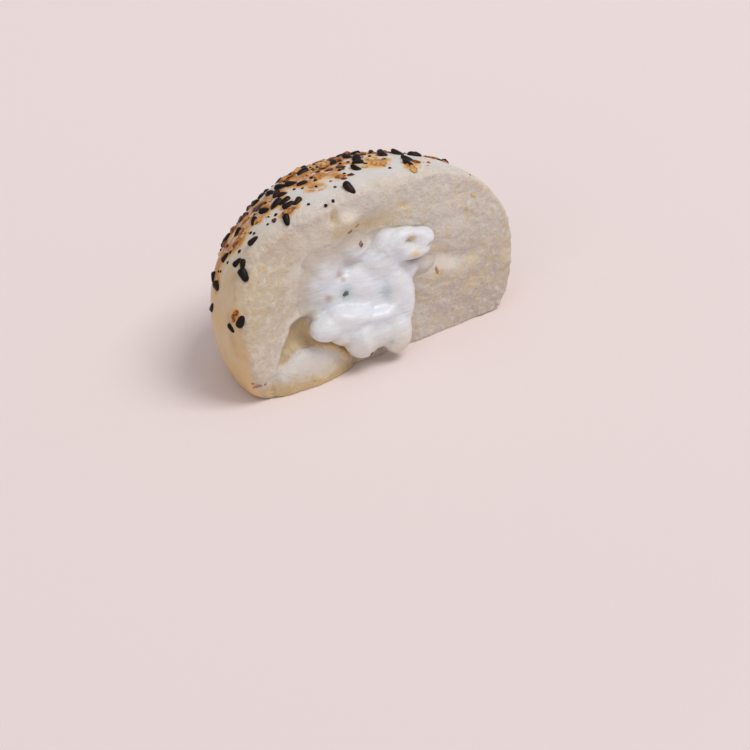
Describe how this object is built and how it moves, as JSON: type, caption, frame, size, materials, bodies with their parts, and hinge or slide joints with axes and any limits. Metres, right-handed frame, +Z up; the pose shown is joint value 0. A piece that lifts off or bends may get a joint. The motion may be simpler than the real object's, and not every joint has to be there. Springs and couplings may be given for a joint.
{
  "type": "half cheesecake bao",
  "caption": "Torn half of a steamed bun with seeds and onion flakes on its crown and soft white cheese filling spilling from the torn side.",
  "frame": {"origin": "on the plane the bun stands on, under the middle of its bounding box", "axes": "+Z up, -Y the way the torn side faces, +X to the right when looking at the torn side"},
  "size_m": [0.0769, 0.0483, 0.046],
  "materials": {
    "dough": "soft satin steamed dough, with near-black seeds and amber onion flakes on the crown and an open matt crumb on the torn side",
    "cheese": "wet glossy white cream"
  },
  "bodies": {
    "root": {"bun": "dough", "filling": "cheese"}
  },
  "joints": []
}
